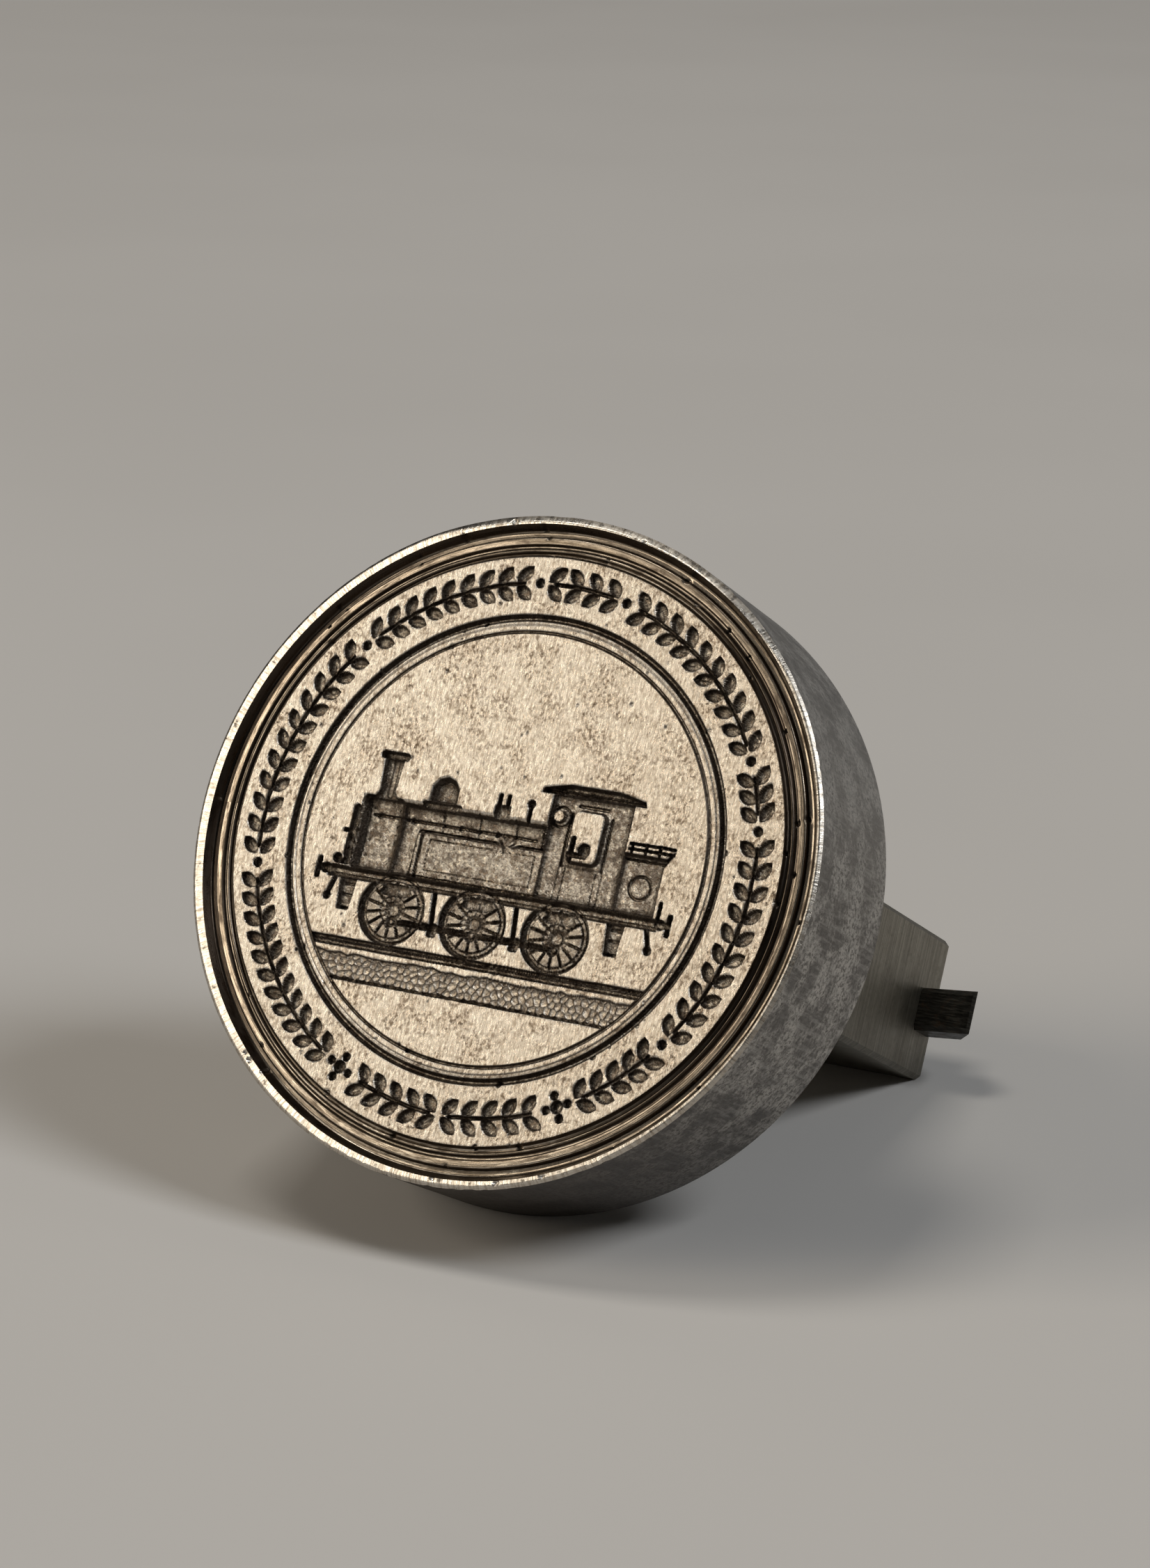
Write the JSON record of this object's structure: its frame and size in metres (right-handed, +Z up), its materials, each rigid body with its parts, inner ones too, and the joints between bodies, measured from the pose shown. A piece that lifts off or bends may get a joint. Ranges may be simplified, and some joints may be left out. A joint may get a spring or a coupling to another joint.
{
  "type": "embossing seal die",
  "caption": "Round steel intaglio die with a thick head, a flat bar shank behind it and a square locating peg, lying on its back edge.",
  "frame": {"origin": "on the surface that the die lies on, under the middle of its box", "axes": "+Z up as it lies, +Y from the engraved face towards the end of the shank, +X towards the side that the locating peg sticks out of"},
  "size_m": [0.05, 0.058, 0.0503],
  "materials": {
    "head_steel": "turned and hand-engraved tool steel, worn bright with dark recesses",
    "shank_steel": "cross-ground tool steel, grey",
    "peg_steel": "filed steel with a little rust at its root"
  },
  "bodies": {
    "root": {"die_head": "head_steel", "shank": "shank_steel", "locating_peg": "peg_steel"}
  },
  "joints": []
}
